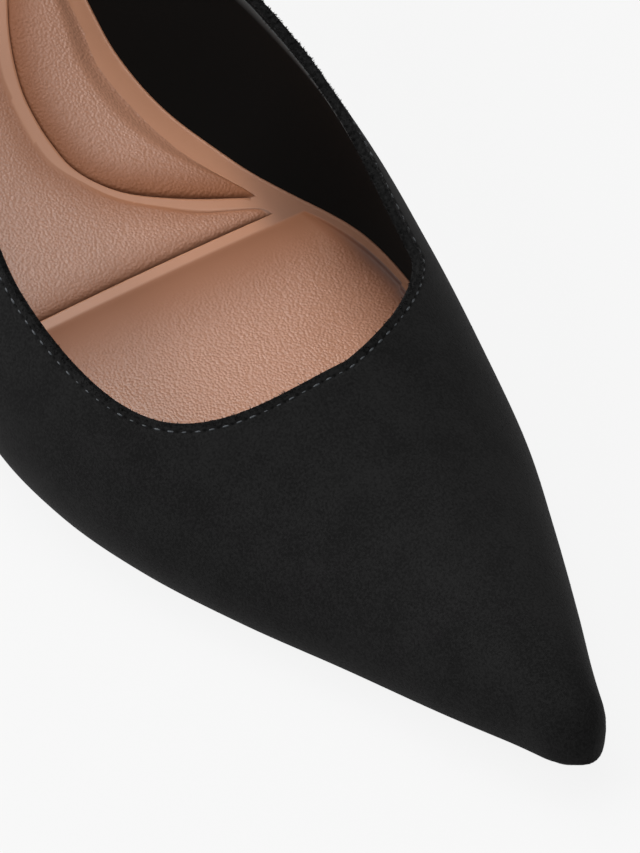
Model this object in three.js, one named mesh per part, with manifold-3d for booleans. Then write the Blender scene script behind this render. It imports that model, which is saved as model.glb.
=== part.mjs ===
import * as THREE from 'three';
import { mergeVertices } from 'three/addons/utils/BufferGeometryUtils.js';
import Module from 'manifold-3d';

const wasm = await Module();
wasm.setup();

// Pointed court pump for the right foot, in millimetres.
// X runs from heel to toe, Y towards the inner side of the foot, Z up from the floor.
// The origin is the middle of the heel's footprint on the floor.

// Driving sizes
const shoeLength = 254;
const heelSetback = 24;
const ballHalfWidth = 41;
const instepHeight = 61;
const heelRise = 47;
const toeSpring = 6;
const toeRadius = 6;
const heelRadius = 27;
const backHeight = 53;
const heelTuck = 2.2;
const backLean = 4.5;
const backBlend = 45;
const upperWall = 2;
const throatBack = 79.5;
const clearance = 0.3;
const outsoleThickness = 2.7;
const outsoleWaistExtra = 0.35;
const outsoleBevel = 0.9;
const outsoleInset = 1.2;
const outsoleTipHalf = 0.3;
const footbedThickness = 6;
const fieldDepth = 1.3;
const fieldCrown = 0.8;
const fieldStart = 12;
const fieldFull = 40;
const ribWidth = 2;
const ribHeight = 1;
const ribRoot = 1.5;
const breastBack = 201;
const heelBaseLength = 26;
const heelBaseWidth = 28;
const heelBaseCorner = 9;
const heelTaper = 2.1;
const topPieceThickness = 5;

// Table helpers: rows of numbers under named columns, read by a smooth curve through the rows
function table(names, rows) {
  const columns = {};
  names.split(' ').forEach((name, index) => {
    columns[name] = rows.map((row) => row[index]);
  });
  return columns;
}

function slopes(xs, ys) {
  const steps = xs.slice(1).map((x, i) => x - xs[i]);
  const rates = steps.map((step, i) => (ys[i + 1] - ys[i]) / step);
  const inner = rates.slice(1).map((rate, i) => (
    (rates[i] * steps[i + 1] + rate * steps[i]) / (steps[i] + steps[i + 1])));
  return [rates[0], ...inner, rates[rates.length - 1]];
}

function read(columns, name, at) {
  const xs = columns.at;
  const ys = columns[name];
  let i = 0;
  while (i < xs.length - 2 && at >= xs[i + 1]) i += 1;
  const tangents = slopes(xs, ys);
  const step = xs[i + 1] - xs[i];
  const t = (at - xs[i]) / step;
  const early = (1 + 2 * t) * (1 - t) ** 2 * ys[i] + t * (1 - t) ** 2 * step * tangents[i];
  const late = t * t * (3 - 2 * t) * ys[i + 1] - t * t * (1 - t) * step * tangents[i + 1];
  return early + late;
}

function smooth(value, low, high) {
  const t = Math.min(1, Math.max(0, (value - low) / (high - low)));
  return t * t * (3 - 2 * t);
}

function mix(a, b, t) {
  return a + (b - a) * t;
}

// Sections of the last, from toe tip to heel back; at is a share of the shoe's length.
// inner, outer: feather line; innerSwell, outerSwell: bulge above it; lean: ridge's shift to the inner side,
// all shares of the ball's half width. spring and rise: feather height, shares of toe spring and heel rise.
// crown: ridge height above the feather, a share of the instep height.
// innerRound, outerRound: fullness of the shoulder beside the ridge.
const lastSections = table(
  'at inner outer spring rise crown innerSwell outerSwell lean innerRound outerRound', [
    [0.00, 0.098, 0.098, 1.00, 0.000, 0.131, 0.020, 0.020, 0.000, 0.75, 0.75],
    [0.04, 0.178, 0.178, 0.83, 0.000, 0.221, 0.044, 0.044, 0.007, 0.72, 0.72],
    [0.10, 0.341, 0.310, 0.50, 0.000, 0.311, 0.073, 0.085, 0.020, 0.68, 0.68],
    [0.18, 0.556, 0.488, 0.20, 0.000, 0.385, 0.107, 0.132, 0.037, 0.62, 0.62],
    [0.255, 0.732, 0.678, 0.05, 0.000, 0.475, 0.141, 0.185, 0.054, 0.58, 0.58],
    [0.335, 0.851, 0.856, 0.00, 0.000, 0.610, 0.150, 0.229, 0.073, 0.61, 0.59],
    [0.415, 0.950, 0.968, 0.00, 0.004, 0.787, 0.148, 0.254, 0.085, 0.59, 0.57],
    [0.49, 0.900, 1.005, 0.00, 0.053, 0.885, 0.281, 0.249, 0.098, 0.60, 0.58],
    [0.59, 0.540, 0.878, 0.00, 0.213, 1.000, 0.533, 0.220, 0.085, 0.74, 0.56],
    [0.69, 0.390, 0.756, 0.00, 0.457, 1.130, 0.439, 0.195, 0.049, 0.74, 0.60],
    [0.79, 0.468, 0.683, 0.00, 0.702, 1.262, 0.260, 0.171, 0.024, 0.70, 0.68],
    [0.89, 0.561, 0.634, 0.00, 0.883, 1.361, 0.171, 0.146, 0.000, 0.73, 0.73],
    [1.00, 0.600, 0.600, 0.00, 1.000, 1.443, 0.146, 0.146, 0.000, 0.76, 0.76],
  ]);

// Topline behind the throat: where the wall ends, as a share of the run from feather line to ridge
const quarterLine = table('at inner outer', [
  [0.31, 0.585, 0.492],
  [0.37, 0.572, 0.488],
  [0.415, 0.562, 0.486],
  [0.49, 0.541, 0.486],
  [0.59, 0.497, 0.478],
  [0.69, 0.433, 0.420],
  [0.79, 0.403, 0.383],
  [0.89, 0.426, 0.407],
  [1.00, 0.455, 0.455],
]);

// Throat curve of each side: how far back it takes to straighten, and how round its corner is
const throatCurve = {
  inner: { reach: 17.5, power: 1.32 },
  outer: { reach: 35.5, power: 2.8 },
};

// Thickness of the footbed's rim along the length, a share of footbedThickness
const footbedProfile = table('at share', [
  [0.00, 0.33],
  [0.10, 0.50],
  [0.20, 0.72],
  [0.30, 0.90],
  [0.42, 1.00],
  [0.55, 1.00],
  [0.70, 0.92],
  [1.00, 0.80],
]);

// Moulded ribs that part the footbed's padded fields; share is -1 at the outer edge, 1 at the inner edge
const archRib = table('at share', [
  [0.80, 0.80],
  [0.745, 0.40],
  [0.70, 0.15],
  [0.66, 0.09],
  [0.62, 0.20],
  [0.59, 0.42],
  [0.565, 0.70],
  [0.552, 0.84],
]);
const crossRib = table('at share', [
  [0.537, -0.90],
  [0.537, 0.00],
  [0.537, 0.84],
]);

// Share of a quarter turn reached at a distance from an end rounded by the radius
function roundEnd(distance, radius, power = 2) {
  const t = Math.min(1, Math.max(0, distance / radius));
  return (1 - (1 - t) ** power) ** (1 / power);
}

// The loop coordinate runs in mm round the plan: 0 at the toe tip, positive on the inner side
const toeArc = toeRadius * Math.PI / 2;
const heelArc = heelRadius * Math.PI / 2;
const straightRun = shoeLength - toeRadius - heelRadius;
const halfLoop = toeArc + straightRun + heelArc;

function stationAt(loop) {
  let side = Math.sign(loop) || 1;
  let along = Math.abs(loop);
  if (along > halfLoop) {
    along = 2 * halfLoop - along;
    side = -side;
  }
  if (along < toeArc) {
    const angle = along / toeRadius;
    return { side, back: toeRadius * (1 - Math.cos(angle)), spread: Math.sin(angle) };
  }
  if (along < toeArc + straightRun) {
    return { side, back: toeRadius + along - toeArc, spread: 1 };
  }
  const angle = (halfLoop - along) / heelRadius;
  return { side, back: shoeLength - heelRadius * (1 - Math.cos(angle)), spread: Math.sin(angle) };
}

function loopAt(back) {
  return toeArc + back - toeRadius;
}

function featherHeight(back) {
  const at = back / shoeLength;
  const lift = read(lastSections, 'spring', at) * toeSpring + read(lastSections, 'rise', at) * heelRise;
  return outsoleThickness + clearance + lift;
}

function crownHeight(back) {
  const tipShare = 0.35;
  const full = read(lastSections, 'crown', back / shoeLength) * instepHeight;
  return full * mix(tipShare, 1, roundEnd(back, toeRadius));
}

// The back of the heel tucks in at the feather line, is fullest a third up and leans forward at the top
function backCurve(back, height) {
  const fullest = 0.35;
  const share = height / backHeight;
  const tuck = heelTuck * Math.max(0, 1 - share / fullest) ** 2;
  const lean = backLean * Math.max(0, (share - fullest) / (1 - fullest)) ** 1.6;
  return (tuck + lean) * smooth(back, shoeLength - backBlend, shoeLength);
}

// Outside of the upper: loop coordinate, and run from the feather line (0) to the ridge (1)
function lastPoint(loop, run) {
  const { side, back, spread } = stationAt(loop);
  const at = back / shoeLength;
  const name = side > 0 ? 'inner' : 'outer';
  const feather = read(lastSections, name, at) * ballHalfWidth;
  const swell = read(lastSections, name + 'Swell', at) * ballHalfWidth;
  const lean = read(lastSections, 'lean', at) * ballHalfWidth;
  const fullness = read(lastSections, name + 'Round', at);
  const crown = crownHeight(back);
  const across = [
    side * feather,
    side * (feather + swell),
    lean + side * (feather + swell) * fullness,
    lean,
  ];
  const swellRise = 0.42;
  const heights = [0, swellRise * crown, crown, crown];
  const weights = [(1 - run) ** 3, 3 * run * (1 - run) ** 2, 3 * run * run * (1 - run), run ** 3];
  const blend = (values) => values.reduce((sum, value, i) => sum + value * weights[i], 0);
  const height = blend(heights);
  const x = shoeLength - heelSetback - back + backCurve(back, height);
  return new THREE.Vector3(x, spread * blend(across), featherHeight(back) + height);
}

function outward(loop, run) {
  const stepAlong = 0.05;
  const stepUp = 0.004;
  const middle = Math.min(0.985, Math.max(stepUp, run));
  const along = lastPoint(loop + stepAlong, middle).sub(lastPoint(loop - stepAlong, middle));
  const up = lastPoint(loop, middle + stepUp).sub(lastPoint(loop, middle - stepUp));
  return along.cross(up).normalize();
}

// A point under the outside: at the feather line it moves level, at the ridge both sides share it
function insidePoint(loop, run, depth) {
  const normal = outward(loop, run);
  if (run === 0) normal.setZ(0).normalize();
  if (run === 1) normal.add(outward(-loop, run)).normalize();
  return lastPoint(loop, run).addScaledVector(normal, -depth);
}

function topRun(loop) {
  const { side, back } = stationAt(loop);
  if (back <= throatBack) return 1;
  const name = side > 0 ? 'inner' : 'outer';
  const curve = throatCurve[name];
  const wall = read(quarterLine, name, back / shoeLength);
  return mix(1, wall, roundEnd(back - throatBack, curve.reach, curve.power));
}

// Run at which the outside reaches a height above the feather line
function runAtHeight(loop, height) {
  const base = lastPoint(loop, 0).z;
  let low = 0;
  let high = 1;
  for (let i = 0; i < 30; i += 1) {
    const middle = (low + high) / 2;
    if (lastPoint(loop, middle).z - base < height) low = middle;
    else high = middle;
  }
  return low;
}

// Closed skins from quads and triangles given by their corners
class Skin {
  constructor() {
    this.corners = [];
  }

  triangle(a, b, c) {
    this.corners.push(a, b, c);
  }

  quad(a, b, c, d) {
    this.triangle(a, b, c);
    this.triangle(a, c, d);
  }

  geometry() {
    const soup = new THREE.BufferGeometry().setFromPoints(this.corners);
    const merged = mergeVertices(soup, 1e-4);
    const faces = [];
    for (let i = 0; i < merged.index.count; i += 3) {
      const face = [0, 1, 2].map((k) => merged.index.getX(i + k));
      if (new Set(face).size === 3) faces.push(...face);
    }
    merged.setIndex(faces);
    merged.computeVertexNormals();
    return merged;
  }
}

// Rings of matching points, joined in turn and closed at both ends by the cap function
function loftRings(rings, cap) {
  const skin = new Skin();
  for (let i = 0; i < rings.length - 1; i += 1) {
    const count = rings[i].length;
    for (let k = 0; k < count; k += 1) {
      const next = (k + 1) % count;
      skin.quad(rings[i][k], rings[i][next], rings[i + 1][next], rings[i + 1][k]);
    }
  }
  cap(skin, rings[0], true);
  cap(skin, rings[rings.length - 1], false);
  return skin.geometry();
}

// A ring made of a left and a right half of equal count is capped by strips from side to side
function stripCap(skin, ring, first) {
  const half = ring.length / 2;
  for (let k = 0; k < half - 1; k += 1) {
    const corners = [ring[k], ring[k + 1], ring[ring.length - 2 - k], ring[ring.length - 1 - k]];
    if (first) corners.reverse();
    skin.quad(...corners);
  }
}

function spread(from, to, count) {
  return Array.from({ length: count + 1 }, (_, i) => mix(from, to, i / count));
}

// Loop coordinates of one side, toe tip to heel back, closest where the throat turns
function sideLoops() {
  const throatSteps = [0.3, 1.1, 2.4, 4.3, 7.0, 11, 17, 25];
  const toe = spread(0, toeArc, 4);
  const vamp = spread(loopAt(toeRadius), loopAt(throatBack), 11).slice(1);
  const throat = throatSteps.map((step) => loopAt(throatBack + step));
  const quarter = spread(throat[throat.length - 1], halfLoop - heelArc, 12).slice(1);
  const heel = spread(halfLoop - heelArc, halfLoop, 7).slice(1);
  return [...toe, ...vamp, ...throat, ...quarter, ...heel];
}

function upperGeometry() {
  const rows = 12;
  const side = sideLoops();
  const loops = [...side, ...side.slice(1, -1).reverse().map((loop) => -loop)];
  const columns = loops.map((loop) => {
    const top = topRun(loop);
    const runs = spread(0, top, rows);
    return {
      outside: runs.map((run) => lastPoint(loop, run)),
      inside: runs.map((run) => insidePoint(loop, run, upperWall)),
      open: top < 1,
    };
  });
  const skin = new Skin();
  columns.forEach((column, i) => {
    const next = columns[(i + 1) % columns.length];
    for (let j = 0; j < rows; j += 1) {
      skin.quad(column.outside[j], next.outside[j], next.outside[j + 1], column.outside[j + 1]);
      skin.quad(column.inside[j], column.inside[j + 1], next.inside[j + 1], next.inside[j]);
    }
    skin.quad(column.outside[0], column.inside[0], next.inside[0], next.outside[0]);
    if (column.open || next.open) {
      skin.quad(column.outside[rows], next.outside[rows], next.inside[rows], column.inside[rows]);
    }
  });
  return skin.geometry();
}

function footbedEdge(loop) {
  const { back } = stationAt(loop);
  const thickness = read(footbedProfile, 'share', back / shoeLength) * footbedThickness;
  return insidePoint(loop, runAtHeight(loop, thickness), upperWall + clearance);
}

// The padded fields lie below the footbed's rim and are slightly crowned
function footbedTop(loop, share) {
  const point = footbedEdge(-loop).lerp(footbedEdge(loop), (share + 1) / 2);
  const width = footbedEdge(loop).y - footbedEdge(-loop).y;
  const depth = fieldDepth * smooth(width, fieldStart, fieldFull) * (1 - smooth(Math.abs(share), 0.8, 0.92));
  point.z += fieldCrown * (1 - share * share) * stationAt(loop).spread - depth;
  return point;
}

function ribGeometry(route) {
  const steps = 28;
  const middle = route.at.map((at, i) => footbedTop(loopAt(at * shoeLength), route.share[i]));
  const curve = new THREE.CatmullRomCurve3(middle);
  const up = new THREE.Vector3(0, 0, 1);
  const rings = spread(0, 1, steps).map((t) => {
    const centre = curve.getPointAt(t);
    const across = curve.getTangentAt(t).cross(up).normalize().multiplyScalar(ribWidth / 2);
    const corner = (way, height) => centre.clone().addScaledVector(across, way).addScaledVector(up, height);
    return [corner(1, -ribRoot), corner(-1, -ribRoot), corner(-1, ribHeight), corner(1, ribHeight)];
  });
  return loftRings(rings.reverse(), stripCap);
}

function solidOf(geometry) {
  const bare = new THREE.BufferGeometry();
  bare.setAttribute('position', geometry.getAttribute('position'));
  bare.setIndex(geometry.index);
  return new wasm.Manifold(new wasm.Mesh({
    numProp: 3,
    vertProperties: Float32Array.from(bare.getAttribute('position').array),
    triVerts: Uint32Array.from(bare.index.array),
  }));
}

function geometryOf(solid) {
  const mesh = solid.getMesh();
  const geometry = new THREE.BufferGeometry();
  geometry.setAttribute('position', new THREE.BufferAttribute(mesh.vertProperties, 3));
  geometry.setIndex(new THREE.BufferAttribute(mesh.triVerts, 1));
  geometry.computeVertexNormals();
  return geometry;
}

function insoleGeometry() {
  const shares = [-1, -0.92, -0.8, -0.4, 0, 0.4, 0.8, 0.92, 1];
  const rings = sideLoops().slice(1, -1).map((loop) => {
    const outerFoot = insidePoint(-loop, 0, upperWall + clearance);
    const innerFoot = insidePoint(loop, 0, upperWall + clearance);
    const bottom = shares.map((share) => innerFoot.clone().lerp(outerFoot, (share + 1) / 2));
    const top = shares.map((share) => footbedTop(loop, share));
    return [...bottom, ...top];
  });
  const base = solidOf(loftRings(rings, stripCap));
  return geometryOf(base.add(solidOf(ribGeometry(archRib))).add(solidOf(ribGeometry(crossRib))));
}

// The outsole lies inside the feather line, so its tip starts where the toe is wide enough for it
function outsoleGeometry() {
  const toeHalfWidth = Math.min(lastSections.inner[0], lastSections.outer[0]) * ballHalfWidth;
  const tipLoop = toeRadius * Math.asin(Math.min(0.9, (outsoleInset + outsoleTipHalf) / toeHalfWidth));
  const loops = [...spread(tipLoop, toeArc, 4), ...spread(toeArc, loopAt(breastBack - clearance), 22).slice(1)];
  const rings = loops.map((loop) => {
    const inner = lastPoint(loop, 0);
    const outer = lastPoint(-loop, 0);
    const top = inner.z - clearance;
    const bottom = Math.max(0, top - outsoleThickness - outsoleWaistExtra);
    inner.y -= outsoleInset;
    outer.y += outsoleInset;
    const bevel = Math.min(outsoleBevel, (inner.y - outer.y) / 6);
    const corner = (y, z) => new THREE.Vector3(inner.x, y, z);
    return [
      corner(inner.y - bevel, bottom),
      corner(outer.y + bevel, bottom),
      corner(outer.y, bottom + bevel),
      corner(outer.y, top),
      corner(inner.y, top),
      corner(inner.y, bottom + bevel),
    ];
  });
  return loftRings(rings, outsoleCap);
}

function outsoleCap(skin, ring, first) {
  const [innerBottom, outerBottom, outerSide, outerTop, innerTop, innerSide] = ring;
  const strips = [[innerBottom, outerBottom, outerSide, innerSide], [innerSide, outerSide, outerTop, innerTop]];
  strips.forEach((corners) => {
    if (first) corners.reverse();
    skin.quad(...corners);
  });
}

// Footprint of the heel on the floor: straight front, round back, as one side from front to back
function heelBaseSide(steps) {
  const front = heelBaseLength / 2;
  const half = heelBaseWidth / 2;
  const path = new THREE.Path();
  path.moveTo(front, half);
  path.lineTo(heelBaseCorner - front, half);
  path.absarc(heelBaseCorner - front, half - heelBaseCorner, heelBaseCorner, Math.PI / 2, Math.PI);
  path.lineTo(-front, 0);
  return path.getSpacedPoints(steps);
}

const heelSteps = 18;

function heelRing(height) {
  return [1, -1].flatMap((side) => {
    const points = heelBaseSide(heelSteps).slice(0, heelSteps + (side > 0 ? 1 : 0));
    const ring = points.map((point) => new THREE.Vector3(point.x, side * point.y, height));
    return side > 0 ? ring : ring.reverse();
  });
}

function heelGeometry() {
  const levels = 12;
  const loops = spread(loopAt(breastBack), halfLoop, heelSteps);
  const base = heelBaseSide(heelSteps);
  const column = (side) => loops.map((loop, i) => {
    const seat = lastPoint(side * loop, 0);
    seat.z -= clearance;
    const foot = new THREE.Vector3(base[i].x, side * base[i].y, topPieceThickness);
    return spread(0, 1, levels).map((level) => {
      const inwards = 1 - (1 - level) ** heelTaper;
      return new THREE.Vector3(
        mix(seat.x, foot.x, inwards), mix(seat.y, foot.y, inwards), mix(seat.z, foot.z, level));
    });
  });
  const innerSide = column(1);
  const outerSide = column(-1).slice(0, -1).reverse();
  const sides = [...innerSide, ...outerSide];
  const rings = spread(levels, 0, levels).map((level) => sides.map((points) => points[Math.round(level)]));
  return loftRings(rings, backFanCap);
}

// A ring whose middle point is the back of the heel, capped by strips that end in one triangle
function backFanCap(skin, ring, first) {
  const last = ring.length - 1;
  for (let k = 0; k < last / 2; k += 1) {
    const far = last - k;
    const corners = k + 1 === far - 1
      ? [ring[k], ring[k + 1], ring[far]]
      : [ring[k], ring[k + 1], ring[far - 1], ring[far]];
    if (first) corners.reverse();
    if (corners.length === 3) skin.triangle(...corners);
    else skin.quad(...corners);
  }
}

function topPieceGeometry() {
  return loftRings([heelRing(0), heelRing(topPieceThickness)], backFanCap);
}

const finishes = {
  suede: { color: 0x242426, roughness: 0.95, metalness: 0 },
  footbedLeather: { color: 0xab8f82, roughness: 0.5, metalness: 0 },
  outsoleResin: { color: 0x1c1b1b, roughness: 0.4, metalness: 0 },
  coveredHeel: { color: 0x232325, roughness: 0.95, metalness: 0 },
  topPieceRubber: { color: 0x171717, roughness: 0.7, metalness: 0 },
};

function piece(name, geometry, finish) {
  const mesh = new THREE.Mesh(geometry, new THREE.MeshStandardMaterial(finishes[finish]));
  mesh.name = name;
  return mesh;
}

const pump = new THREE.Group();
pump.add(piece('upper', upperGeometry(), 'suede'));
pump.add(piece('insole', insoleGeometry(), 'footbedLeather'));
pump.add(piece('outsole', outsoleGeometry(), 'outsoleResin'));
pump.add(piece('heel', heelGeometry(), 'coveredHeel'));
pump.add(piece('top_piece', topPieceGeometry(), 'topPieceRubber'));

export default pump;
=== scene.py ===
import math
import bpy
import bmesh
import numpy as np
from mathutils import Matrix, Vector, noise


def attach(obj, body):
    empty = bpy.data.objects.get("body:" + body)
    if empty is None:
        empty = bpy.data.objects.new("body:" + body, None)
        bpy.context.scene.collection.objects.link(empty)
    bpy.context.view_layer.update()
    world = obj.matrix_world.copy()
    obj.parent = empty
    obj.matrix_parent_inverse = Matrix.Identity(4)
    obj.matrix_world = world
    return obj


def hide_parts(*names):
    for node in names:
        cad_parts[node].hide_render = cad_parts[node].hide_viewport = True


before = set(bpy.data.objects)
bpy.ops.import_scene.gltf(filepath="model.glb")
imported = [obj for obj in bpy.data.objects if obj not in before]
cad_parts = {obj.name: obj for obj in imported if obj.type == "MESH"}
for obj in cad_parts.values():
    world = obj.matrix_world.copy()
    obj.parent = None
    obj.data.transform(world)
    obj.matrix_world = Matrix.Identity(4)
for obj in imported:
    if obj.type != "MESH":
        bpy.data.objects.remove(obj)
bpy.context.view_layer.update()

# A pointed court pump for the right foot, in black suede over a moulded tan footbed.
# Sizes are millimetres until a mesh is made. X runs to the toe, Y to the inner side of the foot, Z up.
millimetre = 0.001


def makeTable(names, rows):
    return dict(zip(names.split(), np.array(rows, float).T))


def readTable(table, name, at):
    # smooth curve through the rows of a table
    knots, values = table["at"], table[name]
    steps = np.diff(knots)
    rates = np.diff(values) / steps
    middle = (rates[:-1] * steps[1:] + rates[1:] * steps[:-1]) / (steps[1:] + steps[:-1])
    tangents = np.concatenate([rates[:1], middle, rates[-1:]])
    i = np.clip(np.searchsorted(knots, at, side="right") - 1, 0, len(knots) - 2)
    t = (at - knots[i]) / steps[i]
    early = (1 + 2 * t) * (1 - t) ** 2 * values[i] + t * (1 - t) ** 2 * steps[i] * tangents[i]
    late = t * t * (3 - 2 * t) * values[i + 1] - t * t * (1 - t) * steps[i] * tangents[i + 1]
    return early + late


def smooth(value, low, high):
    t = np.clip((value - low) / (high - low), 0, 1)
    return t * t * (3 - 2 * t)


def mix(a, b, t):
    return a + (b - a) * t


def unit(vectors):
    return vectors / np.linalg.norm(vectors, axis=-1, keepdims=True)


def roundEnd(distance, radius, power=2.0):
    t = np.clip(distance / radius, 0, 1)
    return (1 - (1 - t) ** power) ** (1 / power)


# The last: driving sizes, then sections as shares of them, from toe tip to heel back
last = {
    "length": 254.0,
    "heelSetback": 24.0,
    "ballHalfWidth": 41.0,
    "instepHeight": 61.0,
    "heelRise": 47.0,
    "toeSpring": 6.0,
    "toeRadius": 6.0,
    "heelRadius": 27.0,
    "backHeight": 53.0,
    "heelTuck": 2.2,
    "backLean": 4.5,
    "backBlend": 45.0,
    "throatBack": 79.5,
    "wall": 2.0,
    "clearance": 0.3,
    "soleThickness": 2.7,
    "soleWaistExtra": 0.35,
    "breastBack": 201.0,
}

lastSections = makeTable(
    "at inner outer spring rise crown innerSwell outerSwell lean innerRound outerRound", [
        [0.00, 0.098, 0.098, 1.00, 0.000, 0.131, 0.020, 0.020, 0.000, 0.75, 0.75],
        [0.04, 0.178, 0.178, 0.83, 0.000, 0.221, 0.044, 0.044, 0.007, 0.72, 0.72],
        [0.10, 0.341, 0.310, 0.50, 0.000, 0.311, 0.073, 0.085, 0.020, 0.68, 0.68],
        [0.18, 0.556, 0.488, 0.20, 0.000, 0.385, 0.107, 0.132, 0.037, 0.62, 0.62],
        [0.255, 0.732, 0.678, 0.05, 0.000, 0.475, 0.141, 0.185, 0.054, 0.58, 0.58],
        [0.335, 0.851, 0.856, 0.00, 0.000, 0.610, 0.150, 0.229, 0.073, 0.61, 0.59],
        [0.415, 0.950, 0.968, 0.00, 0.004, 0.787, 0.148, 0.254, 0.085, 0.59, 0.57],
        [0.49, 0.900, 1.005, 0.00, 0.053, 0.885, 0.281, 0.249, 0.098, 0.60, 0.58],
        [0.59, 0.540, 0.878, 0.00, 0.213, 1.000, 0.533, 0.220, 0.085, 0.74, 0.56],
        [0.69, 0.390, 0.756, 0.00, 0.457, 1.130, 0.439, 0.195, 0.049, 0.74, 0.60],
        [0.79, 0.468, 0.683, 0.00, 0.702, 1.262, 0.260, 0.171, 0.024, 0.70, 0.68],
        [0.89, 0.561, 0.634, 0.00, 0.883, 1.361, 0.171, 0.146, 0.000, 0.73, 0.73],
        [1.00, 0.600, 0.600, 0.00, 1.000, 1.443, 0.146, 0.146, 0.000, 0.76, 0.76],
    ])

quarterLine = makeTable("at inner outer", [  # top of the wall behind the throat, share of feather to ridge
    [0.31, 0.585, 0.492],
    [0.37, 0.572, 0.488],
    [0.415, 0.562, 0.486],
    [0.49, 0.541, 0.486],
    [0.59, 0.497, 0.478],
    [0.69, 0.433, 0.420],
    [0.79, 0.403, 0.383],
    [0.89, 0.426, 0.407],
    [1.00, 0.455, 0.455],
])
throatCorners = {1: {"reach": 17.5, "power": 1.32}, -1: {"reach": 35.5, "power": 2.8}}

toeArc = last["toeRadius"] * math.pi / 2
heelArc = last["heelRadius"] * math.pi / 2
straightRun = last["length"] - last["toeRadius"] - last["heelRadius"]
halfLoop = toeArc + straightRun + heelArc  # the loop coordinate runs round the plan from the toe tip


def stationAt(loop):
    side = np.where(loop < 0, -1.0, 1.0)
    along = np.abs(loop)
    past = along > halfLoop
    along = np.where(past, 2 * halfLoop - along, along)
    side = np.where(past, -side, side)
    toeTurn = along / last["toeRadius"]
    heelTurn = (halfLoop - along) / last["heelRadius"]
    straight = last["toeRadius"] + along - toeArc
    inToe, inMiddle = along < toeArc, along < toeArc + straightRun
    back = np.where(inToe, last["toeRadius"] * (1 - np.cos(toeTurn)), np.where(
        inMiddle, straight, last["length"] - last["heelRadius"] * (1 - np.cos(heelTurn))))
    spread = np.where(inToe, np.sin(toeTurn), np.where(inMiddle, 1.0, np.sin(heelTurn)))
    return side, back, spread


def loopAt(back):
    return toeArc + back - last["toeRadius"]


def featherHeight(back):
    at = back / last["length"]
    spring = readTable(lastSections, "spring", at) * last["toeSpring"]
    rise = readTable(lastSections, "rise", at) * last["heelRise"]
    return last["soleThickness"] + last["clearance"] + spring + rise


def crownHeight(back):
    tipShare = 0.35
    full = readTable(lastSections, "crown", back / last["length"]) * last["instepHeight"]
    return full * mix(tipShare, 1, roundEnd(back, last["toeRadius"]))


def backCurve(back, height):
    fullest = 0.35
    share = height / last["backHeight"]
    tuck = last["heelTuck"] * np.maximum(0, 1 - share / fullest) ** 2
    lean = last["backLean"] * np.maximum(0, (share - fullest) / (1 - fullest)) ** 1.6
    return (tuck + lean) * smooth(back, last["length"] - last["backBlend"], last["length"])


def lastPoint(loop, run):
    # outside of the upper, run 0 at the feather line and 1 at the ridge
    side, back, spread = stationAt(loop)
    at = back / last["length"]

    def pick(kind):
        inner, outer = (readTable(lastSections, name + kind, at) for name in ("inner", "outer"))
        return np.where(side > 0, inner, outer)

    feather = pick("") * last["ballHalfWidth"]
    swell = pick("Swell") * last["ballHalfWidth"]
    fullness = pick("Round")
    lean = readTable(lastSections, "lean", at) * last["ballHalfWidth"]
    crown = crownHeight(back)
    swellRise = 0.42
    wide = side * (feather + swell)
    across = [side * feather, wide, lean + wide * fullness, lean]
    heights = [0, swellRise * crown, crown, crown]
    weights = [(1 - run) ** 3, 3 * run * (1 - run) ** 2, 3 * run * run * (1 - run), run ** 3]
    height = sum(h * w for h, w in zip(heights, weights))
    x = last["length"] - last["heelSetback"] - back + backCurve(back, height)
    y = spread * sum(a * w for a, w in zip(across, weights))
    return np.stack([x, y, featherHeight(back) + height], -1)


def outward(loop, run):
    stepAlong, stepUp = 0.05, 0.004
    middle = np.clip(run, stepUp, 0.985)
    along = lastPoint(loop + stepAlong, middle) - lastPoint(loop - stepAlong, middle)
    up = lastPoint(loop, middle + stepUp) - lastPoint(loop, middle - stepUp)
    return unit(np.cross(along, up))


def wallNormal(loop, run):
    # level at the feather line, shared by both sides at the ridge
    normal = outward(loop, run)
    level = unit(normal * [1, 1, 0])
    shared = unit(normal + outward(-loop, run))
    run = np.broadcast_to(run, normal.shape[:-1])[..., None]
    return np.where(run <= 0, level, np.where(run >= 1, shared, normal))


def wallPoint(loop, run, depth):
    return lastPoint(loop, run) - wallNormal(loop, run) * np.asarray(depth)[..., None]


def runAtHeight(loop, height):
    base = lastPoint(loop, 0 * loop)[..., 2]
    low, high = 0 * loop, 0 * loop + 1
    for _ in range(24):
        middle = (low + high) / 2
        under = lastPoint(loop, middle)[..., 2] - base < height
        low, high = np.where(under, middle, low), np.where(under, high, middle)
    return low


# Topline: 0 to 1 is the throat's inner corner, 1 to 2 the quarters and heel, 2 to 3 the outer corner
def toplineAt(path, inset):
    # loop and run of the curve that lies about inset mm outside the opening's edge
    parts = []
    for side, angle in ((1, path), (-1, 3 - path)):
        corner = throatCorners[side]
        turn = np.clip(angle, 0, 1) * math.pi / 2
        along = 1 - np.cos(turn) ** (2 / corner["power"])
        drop = np.sin(turn) ** (2 / corner["power"])
        back = last["throatBack"] - inset + (corner["reach"] + inset) * along
        parts.append((loopAt(back), drop))
    (innerLoop, innerDrop), (outerLoop, outerDrop) = parts
    starts = [loopAt(last["throatBack"] + throatCorners[side]["reach"]) for side in (1, -1)]
    quarter = mix(starts[0], 2 * halfLoop - starts[1], np.clip(path - 1, 0, 1))
    loop = np.where(path < 1, innerLoop, np.where(path > 2, -outerLoop, quarter))
    drop = np.where(path < 1, innerDrop, np.where(path > 2, outerDrop, 1.0))
    side, back, _ = stationAt(loop)
    at = np.maximum(back / last["length"], quarterLine["at"][0])
    wall = np.where(side > 0, readTable(quarterLine, "inner", at), readTable(quarterLine, "outer", at))
    stretch = np.linalg.norm(lastPoint(loop, wall + 0.01) - lastPoint(loop, wall - 0.01), axis=-1) / 0.02
    return loop, mix(1, wall - inset / stretch, drop)


print("last ready")

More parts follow.
